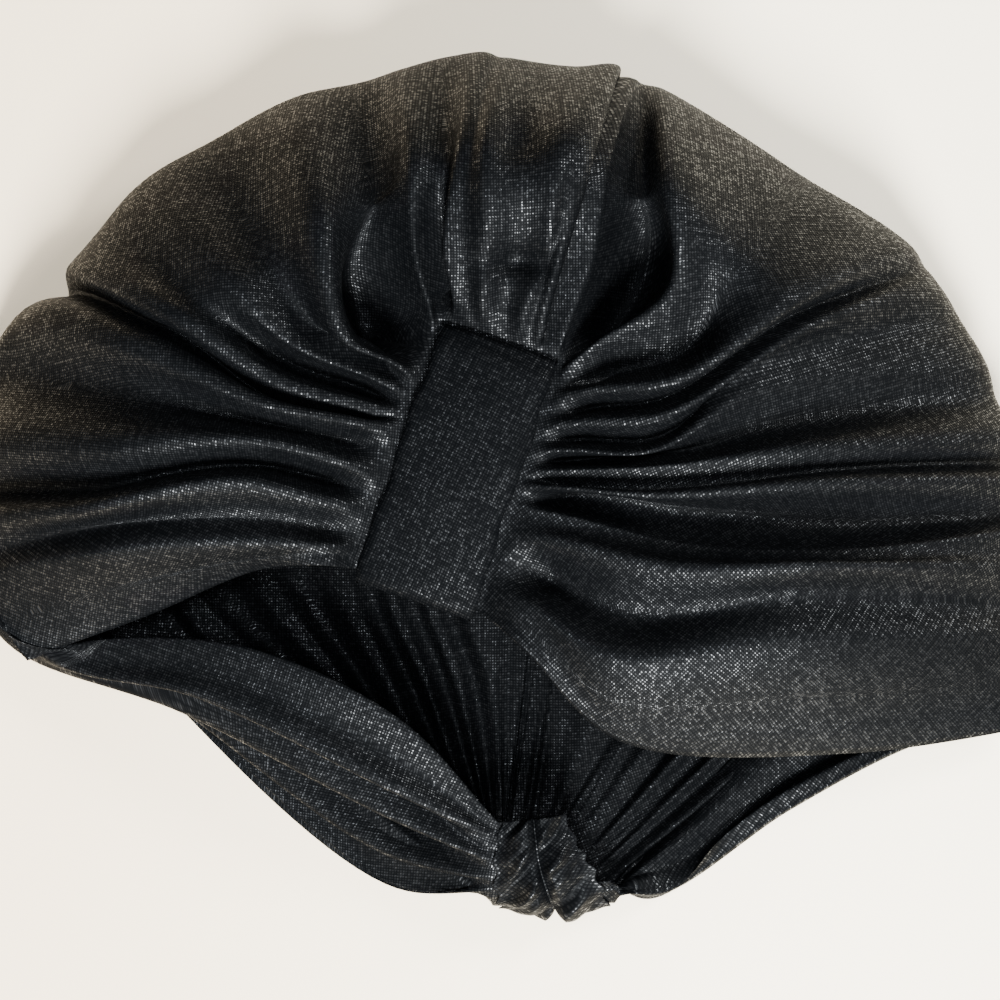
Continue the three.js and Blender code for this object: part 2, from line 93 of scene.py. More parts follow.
# Crests. tab is the share of the way round the tab where the crest starts. near, far and rim are places
# toward the outline in shares of the half sizes and height. The valley after each crest has its dip near the
# tab, far from it, at the outline and at the nape, in shares of the fold depth; bend says where it lies;
# narrow makes it a crease; lap lets the crest hang over it. grain turns the weave, in degrees.
PLEATS = (
    dict(tab=0, near=(-0.43, -0.21, 0.55), far=(-0.64, -0.3, 0.35), rim=(-0.87, -0.39, 0.15),
         dip=(0, 0, 0, 0.1), bend=0.5, narrow=1, lap=0, grain=20),
    dict(tab=0.03, near=(-0.43, -0.17, 0.72), far=(-0.69, -0.18, 0.64), rim=(-0.96, -0.24, 0.22),
         dip=(0.28, 0.32, 0.12, 0.44), bend=0.4, narrow=1, lap=0, grain=20),
    dict(tab=0.09, near=(-0.46, -0.04, 0.83), far=(-0.73, -0.09, 0.72), rim=(-1, -0.12, 0.25),
         dip=(0.38, 0.4, 0.34, 0.4), bend=0.5, narrow=1.3, lap=0, grain=15),
    dict(tab=0.15, near=(-0.42, 0.05, 0.84), far=(-0.67, 0.05, 0.78), rim=(-1, 0.06, 0.28),
         dip=(0.36, 0.4, 0.24, 0.32), bend=0.56, narrow=1.1, lap=0, grain=10),
    dict(tab=0.22, near=(-0.41, 0.13, 0.85), far=(-0.67, 0.27, 0.78), rim=(-0.92, 0.37, 0.28),
         dip=(0.34, 0.36, 0.3, 0.2), bend=0.72, narrow=2, lap=-1.6, grain=5),
    dict(tab=0.25, near=(-0.39, 0.2, 0.8), far=(-0.59, 0.35, 0.84), rim=(-0.79, 0.54, 0.32),
         dip=(0.38, 0.16, 0.02, 0.18), bend=0.5, narrow=1, lap=0, grain=0),
    dict(tab=0.28, near=(-0.37, 0.27, 0.82), far=(-0.49, 0.41, 0.87), rim=(-0.67, 0.73, 0.3),
         dip=(0.34, 0.34, 0.06, 0.2), bend=0.45, narrow=1.2, lap=0, grain=0),
    dict(tab=0.31, near=(-0.27, 0.28, 0.88), far=(-0.32, 0.55, 0.95), rim=(-0.39, 0.93, 0.3),
         dip=(0.95, 0.5, 0.04, 0.18), bend=0.55, narrow=0.8, lap=0, grain=0),
    dict(tab=0.39, near=(-0.15, 0.46, 0.82), far=(-0.16, 0.67, 0.91), rim=(-0.19, 1, 0.3),
         dip=(0.4, 0.22, 0, 0.15), bend=0.55, narrow=1, lap=0, grain=0),
    dict(tab=0.43, near=(-0.1, 0.48, 0.9), far=(-0.07, 0.71, 0.96), rim=(-0.045, 1.04, 0.32),
         dip=(0.08, 0.04, 0, 0.15), bend=0.5, narrow=1, lap=0, grain=0),
    dict(tab=0.465, near=(-0.025, 0.47, 0.95), far=(-0.02, 0.71, 1), rim=(0.025, 1.02, 0.33),
         dip=(0.14, 0.08, 0, 0.05), bend=0.5, narrow=0.8, lap=0, grain=0),
    dict(tab=0.515, near=(0.08, 0.47, 0.94), far=(0.11, 0.7, 1.01), rim=(0.14, 1, 0.33),
         dip=(0.04, 0, 0, 0), bend=0.5, narrow=1, lap=0, grain=0),
    dict(tab=0.55, near=(0.105, 0.45, 0.92), far=(0.16, 0.68, 1), rim=(0.22, 1.005, 0.33),
         dip=(0.3, 0.26, 0.14, 0), bend=0.3, narrow=1.3, lap=1.6, grain=0),
    dict(tab=0.585, near=(0.165, 0.46, 0.82), far=(0.19, 0.65, 0.88), rim=(0.255, 0.975, 0.3),
         dip=(0.9, 0.5, 0.02, 0), bend=0.44, narrow=0.8, lap=0, grain=0),
    dict(tab=0.61, near=(0.3, 0.39, 0.88), far=(0.295, 0.61, 0.97), rim=(0.31, 0.95, 0.3),
         dip=(0.5, 0.2, 0.03, 0.1), bend=0.6, narrow=1, lap=0, grain=0),
    dict(tab=0.65, near=(0.32, 0.19, 0.87), far=(0.53, 0.37, 0.87), rim=(0.76, 0.58, 0.3),
         dip=(0.3, 0.26, 0.05, 0.12), bend=0.55, narrow=1.5, lap=0, grain=-10),
    dict(tab=0.7, near=(0.29, 0.11, 0.82), far=(0.54, 0.3, 0.82), rim=(0.82, 0.48, 0.3),
         dip=(0.26, 0.14, 0.03, 0.1), bend=0.5, narrow=1.4, lap=0, grain=-15),
    dict(tab=0.74, near=(0.27, 0.03, 0.8), far=(0.47, 0.18, 0.77), rim=(0.9, 0.3, 0.28),
         dip=(0.3, 0.3, 0.08, 0.15), bend=0.45, narrow=1.2, lap=0, grain=-20),
    dict(tab=0.775, near=(0.28, 0, 0.78), far=(0.58, 0.045, 0.77), rim=(0.96, 0.11, 0.28),
         dip=(0.22, 0.26, 0.2, 0.12), bend=0.45, narrow=1.4, lap=0, grain=-25),
    dict(tab=0.8, near=(0.27, -0.07, 0.83), far=(0.58, -0.04, 0.8), rim=(0.98, 0.01, 0.27),
         dip=(0.42, 0.46, 0.15, 0.1), bend=0.6, narrow=0.9, lap=0, grain=-30),
    dict(tab=0.83, near=(0.33, -0.17, 0.73), far=(0.62, -0.18, 0.72), rim=(0.99, -0.09, 0.27),
         dip=(0.04, 0.05, 0.06, 0.15), bend=0.5, narrow=1, lap=0, grain=-35),
    dict(tab=0.87, near=(0.29, -0.22, 0.83), far=(0.59, -0.22, 0.82), rim=(0.99, -0.21, 0.25),
         dip=(0.5, 0.34, 0.1, 0.15), bend=0.55, narrow=1, lap=0, grain=-45),
    dict(tab=0.955, near=(0.19, -0.43, 0.78), far=(0.53, -0.39, 0.76), rim=(0.99, -0.37, 0.22),
         dip=(0, 0, 0, 0.15), bend=0.5, narrow=1, lap=0, grain=-45),
    dict(tab=1, near=(0.21, -0.59, 0.52), far=(0.63, -0.61, 0.35), rim=(0.98, -0.54, 0.15),
         dip=(0, 0, 0, 0), bend=0.5, narrow=1, lap=0, grain=-45),
)

# Behind the outline the crests beside the opening follow the nape edge, which stands on the left and lies
# flat on the right
LEFT_NAPE_EDGE = (
    dict(under=(-0.73, -0.35, 0.25), side=(-0.45, -0.38, 0.42), low=(-0.18, -0.54, 0.45)),
    dict(under=(-0.81, -0.4, 0.2), side=(-0.54, -0.49, 0.39), low=(-0.21, -0.69, 0.43)),
    dict(under=(-0.92, -0.34, 0.08), side=(-0.57, -0.52, 0.22), low=(-0.2, -0.75, 0.3)),
    dict(under=(-0.98, -0.15, 0.05), side=(-0.59, -0.5, 0.07), low=(-0.22, -0.82, 0.12)),
    dict(under=(-0.97, 0.11, 0.05), side=(-0.62, -0.46, 0.02), low=(-0.21, -0.9, 0.03)),
)
RIGHT_NAPE_EDGE = (
    dict(under=(0.97, -0.24, 0.05), side=(0.56, -0.48, 0.02), low=(0.33, -0.75, 0.02)),
    dict(under=(0.94, -0.43, 0.05), side=(0.57, -0.63, 0.03), low=(0.35, -0.83, 0.05)),
    dict(under=(0.79, -0.57, 0.08), side=(0.53, -0.73, 0.08), low=(0.28, -0.93, 0.08)),
)
# The next pleats lie on the surface and run side by side to the nape, seen through the opening
BACK_PLEATS = (
    dict(side=(-0.63, -0.15), low=(-0.41, -0.45)),
    dict(side=(-0.46, -0.15), low=(-0.29, -0.45)),
    dict(side=(-0.3, -0.15), low=(-0.2, -0.45)),
    dict(side=(-0.22, -0.15), low=(-0.135, -0.45)),
    dict(side=(-0.145, -0.15), low=(-0.075, -0.45)),
    dict(side=(-0.075, -0.15), low=(-0.015, -0.45)),
)
TURN_UNDER = dict(inset=0.95, rise=0.04)
BACK_SHARES = dict(side=0.35, low=0.72)
# How much of a valley's dip is left under the outline (of the outline's) and at the side (of the nape's)
BACK_DIPS = dict(under=0.4, side=0.6)
TAB_SHOULDER = dict(share=0.34, rise=0.93, pull=0.6)

# Fineness of the wrap: steps between its guide places along a pleat, and steps from crest to crest
STEPS_ALONG = (2, 12, 12, 16, 22, 12, 14, 14, 10, 2)
STEPS_PER_PLEAT = 18

# The tab: its steps; waves of its long edges as height, length and phase, how its steps crowd toward them,
# the rolled share of its half width, how far and how roundly it rolls outside and how much of that inside,
# and how much and over which share of its length its crown end gets thin; the slight unevenness of its face;
# the turn of its weave in degrees; and the room that it leaves for the brow edge
TAB_STEPS = dict(along=40, bend=16, across=48)
TAB_EDGE = dict(waves=((0.35, 5.1, 0), (0.25, 2.3, 1)), crowd=1.4, rolled=0.14, roll=0.9, round=2.2,
                inner=0.6, thin=1.4, thin_end=0.1)
TAB_QUILT = dict(height=0.16, length=3.7, lean=2, across=5, phase=0.6)
TAB_GRAIN = 8.0
TAB_ROOM = 0.3

# Small gathers beside the tab and the nape: how many go round, how high, how far they reach, and their seed
TAB_GATHERS = dict(count=24, height=0.8, reach=12.0, seed=3)
NAPE_GATHERS = dict(count=30, height=1.5, reach=42.0, seed=8)
# Over how many millimetres from the edge they fade in, and the sine waves that they are the sum of
GATHER_START = 4.0
GATHER_WAVES = dict(count=5, turns=(0.6, 1.5), weight=(0.4, 1), sum=3)

# Slight wrinkles: how many, how high, over how many millimetres they fade in beside the tab and the nape,
# their seed, and the ranges of their half width in pleats, the place along the pleats where they are highest,
# their reach along the pleats and how they lean across them
WRINKLES = dict(count=26, height=0.7, calm=12.0, seed=21, width=(0.12, 0.4), start=(0.8, 5.5),
                reach=(0.5, 1.4), lean=(-0.25, 0.25))

# Pleats of the nape bunch: how far they run down from the seam to each edge, in shares of its length; their
# waves as turns, phase and height; how wide, how sharp and how deep the seam's groove is; the height of the
# bunch, how far it falls and its thin edge; and its ragged width, with teeth that lie apart on the two sides
NAPE_STEPS = dict(along=160, across=80)
NAPE_FAN = dict(left=-0.2, right=0.16, waves=((3.7, 0.1, 1.0), (6.9, 0.45, 0.7), (12.3, 0.8, 0.3)),
                groove=0.2, sharp=0.7, sunk=1.2, fall=0.7, crown=1.3, edge=0.3, ragged=0.05, teeth=9,
                apart=0.3)
NAPE_GRAIN = 45.0

# Hems of the brow rims: rim is the pleat they lie along, to how far they reach in pleats, step and seam the
# widths of their edge and of its stitched groove, rise and sunk in millimetres
HEMS = (
    dict(rim=0, to=0.6, step=0.14, seam=0.14, rise=0.4, sunk=0.2),
    dict(rim=23, to=0.36, step=0.07, seam=0.09, rise=0.5, sunk=0.35),
)

# Places along the pleats between which the hems show, and over how much they fade in and out there
HEM_ENDS = dict(tab=0.3, fade_in=0.5, nape=8.0, fade_out=1.5)

# Local dents of the wrap: pleat and place along it, half sizes in both, and depth in millimetres
DENTS = (
    dict(pleat=10.4, place=2.95, wide=0.3, long=0.28, depth=3.2),
    dict(pleat=10.7, place=1.75, wide=0.7, long=0.25, depth=4.5),
    dict(pleat=10.6, place=2.6, wide=1.1, long=0.5, depth=-3.4),
    dict(pleat=11.3, place=3.2, wide=0.6, long=0.4, depth=-0.8),
    dict(pleat=14.5, place=3.4, wide=0.4, long=0.5, depth=1.2),
    dict(pleat=22.3, place=1.4, wide=0.4, long=0.5, depth=1.5),
    dict(pleat=7.4, place=1.6, wide=0.3, long=0.5, depth=3.0),
    dict(pleat=2.5, place=1.5, wide=0.5, long=0.6, depth=1.5),
)

# Weave: the distance between neighbouring threads. Past the place kept along the pleats the front's weave
# goes on in the direction that it has at the place like, and past the place behind it is laid on from above.
THREAD_PITCH = 0.72
WEAVE = dict(like=3.5, kept=4, behind=5)

# Black cloth: colours of the low threads, darkened with painted shade, and of the raised threads, lightened
# with painted sheen; the tint of their gloss, how glossy each piece is, and the roughness of the low and the
# raised threads
SHADED_LOW_THREAD_BLACK = (0.0008, 0.001, 0.0013, 1)
SHEEN_RAISED_THREAD_BLACK = (0.0056, 0.0061, 0.0068, 1)
COOL_GLOSS = (0.88, 0.94, 1.0, 1)
WRAP_GLOSS = 0.3
TAB_GLOSS = 0.15
ROUGHNESS = dict(low=0.55, raised=0.28)
# Noise that varies it: slubs, which run far along their thread, grain, and soft clouds over the whole piece
SLUBS = dict(run=0.05, scale=0.9)
GRAIN_SCALE = 0.7
CLOUDS = dict(scale=28.0, detail=3.0, roughness=0.6)
# Its relief: share of each in the height, and how strong and how deep in metres that is
RELIEF = dict(over=0.8, slub=0.4, grain=0.5, spark=0.4, strength=0.35, distance=0.00018)

# Pale floor, from left to right, darker on the left with painted shade and lighter on the right with painted
# # light, and the soft lights round it, with lengths and places in metres
FLOOR_SIZE = 6.0
FLOOR_SHADED_LEFT = (0.82, 0.69, 0.5, 1)
FLOOR_LIT_RIGHT = (1.0, 0.93, 0.75, 1)
ROOM_COLOUR = (1.0, 0.97, 0.94, 1)
ROOM_STRENGTH = 0.28
LIGHTS = (
    dict(name="window", at=(0.1, -1.3, 1.05), aim=(0, 0, 0.02), size=0.6, watts=190, colour=(1, 0.98, 0.95)),
    dict(name="lamp", at=(1.4, 0.7, 1.05), aim=(0, 0, 0), size=0.6, watts=50, colour=(1, 0.98, 0.95)),
    dict(name="ceiling", at=(-0.1, -0.2, 1.6), aim=(0, 0, 0), size=0.5, watts=24, colour=(0.95, 0.97, 1)),
)

# Camera: its elevation, distance, aim and lens, in the drawing's frame
CAMERA_ELEVATION = math.radians(80)
CAMERA_DISTANCE = 700.0
CAMERA_AIM = (0.0, -3.0, 15.0)
PICTURE_SIZE = 1000
MM_PER_PIXEL = 0.26
SENSOR = 36.0


def place(share):
    """A place given in shares of the half sizes and of the height."""
    return np.array(share, float) * (HALF_WIDTH, HALF_LENGTH, HEIGHT)


def smooth(t):
    """Eases from 0 to 1."""
    t = np.clip(t, 0, 1)
    return t * t * (3 - 2 * t)


def spline(points, at):
    """A centripetal spline through points[0], points[1] and so on, at the given places along its index."""
    points = np.asarray(points, float)
    at = np.asarray(at, float)
    last = len(points) - 1
    index = np.clip(at.astype(int), 0, last - 1)
    share = at - index
    before = np.concatenate([2 * points[:1] - points[1:2], points[:-1]])
    after = np.concatenate([points[1:], 2 * points[-1:] - points[-2:-1]])
    p0, p1, p2, p3 = before[index], points[index], points[index + 1], after[index + 1]
    step = [np.sqrt(np.linalg.norm(b - a, axis=-1, keepdims=True)) for a, b in ((p0, p1), (p1, p2), (p2, p3))]
    middle = np.where(step[1] < 1e-4, 1.0, step[1])
    first = np.where(step[0] < 1e-4, middle, step[0])
    third = np.where(step[2] < 1e-4, middle, step[2])
    t1 = ((p1 - p0) / first - (p2 - p0) / (first + middle) + (p2 - p1) / middle) * middle
    t2 = ((p2 - p1) / middle - (p3 - p1) / (middle + third) + (p3 - p2) / third) * middle
    share = share.reshape(share.shape + (1,) * (points.ndim - share.ndim))
    curve = -2 * p2 + 2 * p1 + t1 + t2
    bow = 3 * p2 - 3 * p1 - 2 * t1 - t2
    return p1 + t1 * share + bow * share**2 + curve * share**3


def tab_point(along, across, lift):
    """A point on the tab's face: along from its brow end, across to the right, lift above that face."""
    share = along / TAB_LENGTH
    camber = TAB_CAMBER * (across / TAB_HALF_WIDTH) ** 2
    level = TAB_LEVEL - TAB_BROW_DROP * (1 - share) ** 2 - TAB_CROWN_DROP * share**4 - camber
    slope = (2 * TAB_BROW_DROP * (1 - share) - 4 * TAB_CROWN_DROP * share**3) / TAB_LENGTH
    tilt = np.hypot(1, slope)
    reach = along - TAB_LENGTH / 2 - lift * slope / tilt
    x = TAB_CENTRE[0] + reach * math.sin(TAB_LEAN) + across * math.cos(TAB_LEAN)
    y = TAB_CENTRE[1] + reach * math.cos(TAB_LEAN) - across * math.sin(TAB_LEAN)
    return np.stack(np.broadcast_arrays(x, y, level + lift / tilt), -1)


# The back seam as evenly spaced points
SEAM_FINE = spline([place(p) for p in NAPE_SEAM], np.linspace(0, len(NAPE_SEAM) - 1, 601))
SEAM_WAY = np.concatenate([[0], np.cumsum(np.linalg.norm(np.diff(SEAM_FINE, axis=0), axis=1))])
NAPE_LENGTH = SEAM_WAY[-1]
SEAM_DIRECTION = np.gradient(SEAM_FINE, SEAM_WAY, axis=0)


def nape_point(along, across, lift):
    """A point on the nape gather's face: along the seam from the rim, across to the right, lift outward."""
    along, across, lift = np.broadcast_arrays(along, across, lift)
    way = np.clip(along, 0, NAPE_LENGTH)
    point = np.stack([np.interp(way, SEAM_WAY, SEAM_FINE[:, k]) for k in range(3)], -1)
    tangent = np.stack([np.interp(way, SEAM_WAY, SEAM_DIRECTION[:, k]) for k in range(3)], -1)
    tangent /= np.linalg.norm(tangent, axis=-1, keepdims=True)
    side = np.array([1.0, 0, 0]) - tangent * tangent[..., :1]
    side /= np.linalg.norm(side, axis=-1, keepdims=True)
    outward = np.cross(tangent, side)
    flare = 1 + NAPE_FLARE * np.sin(math.pi * way / NAPE_LENGTH)
    return point + side * (across * flare)[..., None] + tangent * (along - way)[..., None] \
        + outward * lift[..., None]


def slit_path(share, length, half_width):
    """The way round a slit, up its left side, over its end and down its right side, as along and across."""
    round_ = half_width * CORNER_ROUND
    straight = length - round_
    arc = math.pi / 2 * round_
    total = 2 * straight + 2 * arc + 2 * (half_width - round_)
    mirrored = share > 0.5
    way = np.where(mirrored, 1 - share, share) * total
    angle = np.clip((way - straight) / round_, 0, math.pi / 2)
    over = np.maximum(way - straight - arc, 0)
    along = np.minimum(way, straight) + round_ * np.sin(angle)
    across = -half_width + round_ * (1 - np.cos(angle)) + over
    return along, np.where(mirrored, -across, across)


def beside_slit(share, length, half_width, outside):
    """The same way at a distance outside or inside the band's edge."""
    along, across = slit_path(share, length, half_width)
    return along + outside * (along / length) ** 4, across * (1 + outside / half_width)


def tab_gather(share, outside):
    """Points round the tab under its face, at a distance outside its edge."""
    along, across = beside_slit(np.asarray(share, float), TAB_LENGTH, TAB_HALF_WIDTH, outside)
    return tab_point(along, across, -TAB_WALL - LAYER_GAP)


def nape_gather(share, outside):
    """Points round the nape bunch under its face, at a distance outside its edge."""
    along, across = beside_slit(np.asarray(share, float), NAPE_LENGTH, NAPE_HALF_WIDTH, outside)
    return nape_point(along, across, -NAPE_WALL - NAPE_GAP)


def crest_lines():
    """The guide places of every crest from the tab's shoulder to the nape, as one array per place."""
    last = len(PLEATS) - 1
    nape = nape_gather(NAPE_FILL * np.arange(last + 1) / last, EDGE_MARGIN)
    start = tab_gather([p["tab"] for p in PLEATS], EDGE_MARGIN)
    near = np.array([place(p["near"]) for p in PLEATS])
    shoulder = start + (near - start) * TAB_SHOULDER["share"]
    level = np.maximum(near[:, 2], TAB_LEVEL) * TAB_SHOULDER["rise"]
    shoulder[:, 2] += TAB_SHOULDER["pull"] * (level - shoulder[:, 2])
    lines = [shoulder]
    for key in ("near", "far", "rim"):
        lines.append(np.array([place(p[key]) for p in PLEATS]))
    rims = lines[-1]
    for key in ("under", "side", "low"):
        if key == "under":
            line = rims * (TURN_UNDER["inset"], TURN_UNDER["inset"], 0)
            line[:, 2] = TURN_UNDER["rise"] * HEIGHT
        else:
            line = rims + (nape - rims) * BACK_SHARES[key]
            line[:, 2] = 0
        for row, edge in enumerate(LEFT_NAPE_EDGE):
            line[row] = place(edge[key])
        if key != "under":
            for row, flat in enumerate(BACK_PLEATS):
                line[len(LEFT_NAPE_EDGE) + row] = place((*flat[key], 0))
        for row, edge in enumerate(RIGHT_NAPE_EDGE):
            line[len(PLEATS) - len(RIGHT_NAPE_EDGE) + row] = place(edge[key])
        lines.append(line)
    return lines


def column_places():
    """Where the wrap's columns lie, in pleats, with the valley each belongs to and the share of the way."""
    places, valleys, shares = [], [], []
    for index in range(len(PLEATS) - 1):
        bend = PLEATS[index]["bend"]
        for step in range(STEPS_PER_PLEAT):
            half = step / STEPS_PER_PLEAT
            share = 2 * half * bend if half < 0.5 else bend + (2 * half - 1) * (1 - bend)
            places.append(index + share)
            valleys.append(index)
            shares.append(half)
    places.append(len(PLEATS) - 1)
    valleys.append(len(PLEATS) - 2)
    shares.append(1.0)
    return np.array(places, float), np.array(valleys), np.array(shares)


def guide_places():
    """Places of the wrap's rows along the guides: 0 at the tab's edge, and -1 under the tab."""
    rows = [-1 + k / STEPS_ALONG[0] for k in range(STEPS_ALONG[0])]
    for span, steps in enumerate(STEPS_ALONG[1:-1]):
        rows += [span + k / steps for k in range(steps)]
    last = len(STEPS_ALONG) - 2
    rows += [last + k / STEPS_ALONG[-1] for k in range(STEPS_ALONG[-1] + 1)]
    return np.array(rows)


def wrap_base(columns, rows):
    """The smooth cloth without its valleys, as an array of rows along a pleat by columns across them."""
    last = len(PLEATS) - 1
    index = np.minimum(columns.astype(int), last - 1)
    starts = np.array([p["tab"] for p in PLEATS])
    tab_share = starts[index] + (starts[index + 1] - starts[index]) * (columns - index)
    nape_share = NAPE_FILL * columns / last
    guides = [tab_gather(tab_share, EDGE_MARGIN)]
    guides += [spline(line, columns) for line in crest_lines()]
    guides.append(nape_gather(nape_share, EDGE_MARGIN))
    guides = np.array(guides)
    base = spline(guides, np.clip(rows, 0, len(guides) - 1))
    under_tab = tab_gather(tab_share, -TAB_OVERLAP)
    under_nape = nape_gather(nape_share, -NAPE_OVERLAP)
    for k, row in enumerate(rows):
        if row < 0:
            base[k] = under_tab + (guides[0] - under_tab) * (row + 1)
        if row > len(guides) - 1:
            base[k] = guides[-1] + (under_nape - guides[-1]) * (row - len(guides) + 1)
    return base


def valley_depths(rows):
    """Depth of every valley along the rows, in millimetres."""
    table = []
    for pleat in PLEATS[:-1]:
        near, far, rim, nape = pleat["dip"]
        table.append((0, near, near, far, rim, rim * BACK_DIPS["under"], nape * BACK_DIPS["side"], nape, 0))
    table = np.array(table, float).T
    at = np.clip(rows, 0, len(table) - 1)
    index = np.minimum(at.astype(int), len(table) - 2)
    ease = smooth(at - index)[:, None]
    return FOLD_DEPTH * (table[index] * (1 - ease) + table[index + 1] * ease)


def normals_of(grid):
    """Outward direction at each point of a grid of rows by columns."""
    along = np.gradient(grid, axis=0)
    across = np.gradient(grid, axis=1)
    normal = -np.cross(along, across)
    return normal / np.linalg.norm(normal, axis=-1, keepdims=True)


def ripple(columns, count, seed):
    """Uneven small waves across the columns, between -1 and 1."""
    random = np.random.default_rng(seed)
    share = columns / (len(PLEATS) - 1)
    wave = np.zeros_like(share)
    for _ in range(GATHER_WAVES["count"]):
        turns = count * random.uniform(*GATHER_WAVES["turns"])
        one = np.sin(2 * math.pi * (turns * share + random.uniform()))
        wave += one * random.uniform(*GATHER_WAVES["weight"])
    return wave / GATHER_WAVES["sum"]


def wrinkles(columns, rows):
    """Slight long wrinkles that run with the pleats and fade in and out."""
    random = np.random.default_rng(WRINKLES["seed"])
    height = np.zeros((len(rows), len(columns)))
    for _ in range(WRINKLES["count"]):
        middle = random.uniform(0, len(PLEATS) - 1)
        width = random.uniform(*WRINKLES["width"])
        start = random.uniform(*WRINKLES["start"])
        reach = random.uniform(*WRINKLES["reach"])
        lean = random.uniform(*WRINKLES["lean"])
        line = middle + lean * (rows - start)
        across = (columns[None, :] - line[:, None]) / width
        along = (rows - start) / reach
        height += random.uniform(-1, 1) * np.exp(-(across**2)) * np.exp(-(along**2))[:, None]
    return height


def wrap_faces():
    """Outer and inner face of the wrap, with the weave's coordinates."""
    columns, valleys, halves = column_places()
    rows = guide_places()
    base = wrap_base(columns, rows)
    normal = normals_of(base)
    narrow = np.array([p["narrow"] for p in PLEATS])[valleys]
    sink = (np.sin(math.pi * halves) ** 2) ** narrow
    depth = valley_depths(rows)[:, valleys]
    shift = -sink * depth

    way = np.concatenate([np.zeros((1, len(columns))),
                          np.cumsum(np.linalg.norm(np.diff(base, axis=0), axis=2), axis=0)])
    tab_edge = np.searchsorted(rows, 0)
    nape_edge = np.searchsorted(rows, len(STEPS_ALONG) - 2)
    from_tab = way - way[tab_edge]
    from_nape = way[nape_edge] - way
    for gathers, distance in ((TAB_GATHERS, from_tab), (NAPE_GATHERS, from_nape)):
        fade = np.clip(distance / GATHER_START, 0, 1) * np.exp(-np.clip(distance, 0, None) / gathers["reach"])
        shift += gathers["height"] * fade * ripple(columns, gathers["count"], gathers["seed"])
    calm = np.clip(from_tab / WRINKLES["calm"], 0, 1) * np.clip(from_nape / WRINKLES["calm"], 0, 1)
    shift += WRINKLES["height"] * calm * wrinkles(columns, rows)
    for hem in HEMS:
        inside = np.clip((hem["to"] - np.abs(columns - hem["rim"])) / hem["step"], 0, 1)
        from_seam = np.abs(columns - hem["rim"]) - hem["to"] + hem["seam"]
        stitch = np.exp(-((2 * from_seam / hem["seam"]) ** 2))
        fade = smooth((rows - HEM_ENDS["tab"]) / HEM_ENDS["fade_in"])[:, None]
        fade = fade * smooth((HEM_ENDS["nape"] - rows) / HEM_ENDS["fade_out"])[:, None]
        shift += fade * (hem["rise"] * smooth(inside) - hem["sunk"] * stitch)[None, :]
    for dent in DENTS:
        across = (columns[None, :] - dent["pleat"]) / dent["wide"]
        along = (rows[:, None] - dent["place"]) / dent["long"]
        shift -= dent["depth"] * np.exp(-(across**2) - along**2)

    face = base + normal * shift[..., None]
    lap = np.array([p["lap"] for p in PLEATS])[valleys]
    across = np.gradient(base, axis=1)
    across /= np.linalg.norm(across, axis=-1, keepdims=True)
    hang = np.where((lap > 0) == (halves < 0.5), lap * np.abs(np.sin(2 * math.pi * halves)), 0)
    face += across * (hang * np.minimum(depth / LAP_DEPTH, 1))[..., None]
    back = face - normal * CLOTH_WALL
    sunk = np.maximum(0, np.maximum(-face[..., 2], -back[..., 2]))
    face[..., 2] += sunk
    back[..., 2] += sunk
    panels = valleys + (halves >= 0.5)
    return face, back, base, rows, panels


def unrolled(base, face, rows, panels):
    """Weave coordinates: the front unrolled from the tab, the back as it lies, each panel its own cloth."""
    step = np.diff(base, axis=0)
    length = np.linalg.norm(step, axis=2, keepdims=True)
    heading = step[..., :2] / np.maximum(np.linalg.norm(step[..., :2], axis=2, keepdims=True), 1e-6)
    turned = rows[1:] > WEAVE["kept"]
    heading[turned] = heading[np.searchsorted(rows, WEAVE["like"])]
    flat = np.concatenate([base[:1, :, :2], heading * length])
    front = np.cumsum(flat, axis=0)
    behind = (rows > WEAVE["behind"])[:, None, None]
    weave = np.where(behind, base[..., :2], front)

    across = np.diff(weave, axis=1)
    drawn = np.linalg.norm(across, axis=2)
    real = np.linalg.norm(np.diff(face, axis=1), axis=2)
    extra = np.concatenate([np.zeros((len(rows), 1)), np.cumsum(real - drawn, axis=1)], axis=1)
    members = [np.flatnonzero(panels == p) for p in panels]
    crest = np.array([columns[len(columns) // 2] for columns in members])
    side = np.gradient(weave, axis=1)
    side /= np.maximum(np.linalg.norm(side, axis=2, keepdims=True), 1e-6)
    return weave + side[:, crest] * (extra - extra[:, crest])[..., None]


def mesh_object(name, vertices, faces, uvs):
    """A mesh object from millimetre points in the drawing's frame."""
    mesh = bpy.data.meshes.new(name)
    points = (np.asarray(vertices, float) + SHIFT) * MM
    mesh.from_pydata(points.tolist(), [], [tuple(f) for f in faces])
    layer = mesh.uv_layers.new(name="weave")
    layer.data.foreach_set("uv", np.asarray(uvs, np.float32).ravel())
    mesh.polygons.foreach_set("use_smooth", [True] * len(mesh.polygons))
    mesh.update()
    piece = bpy.data.objects.new(name, mesh)
    bpy.context.scene.collection.objects.link(piece)
    return piece


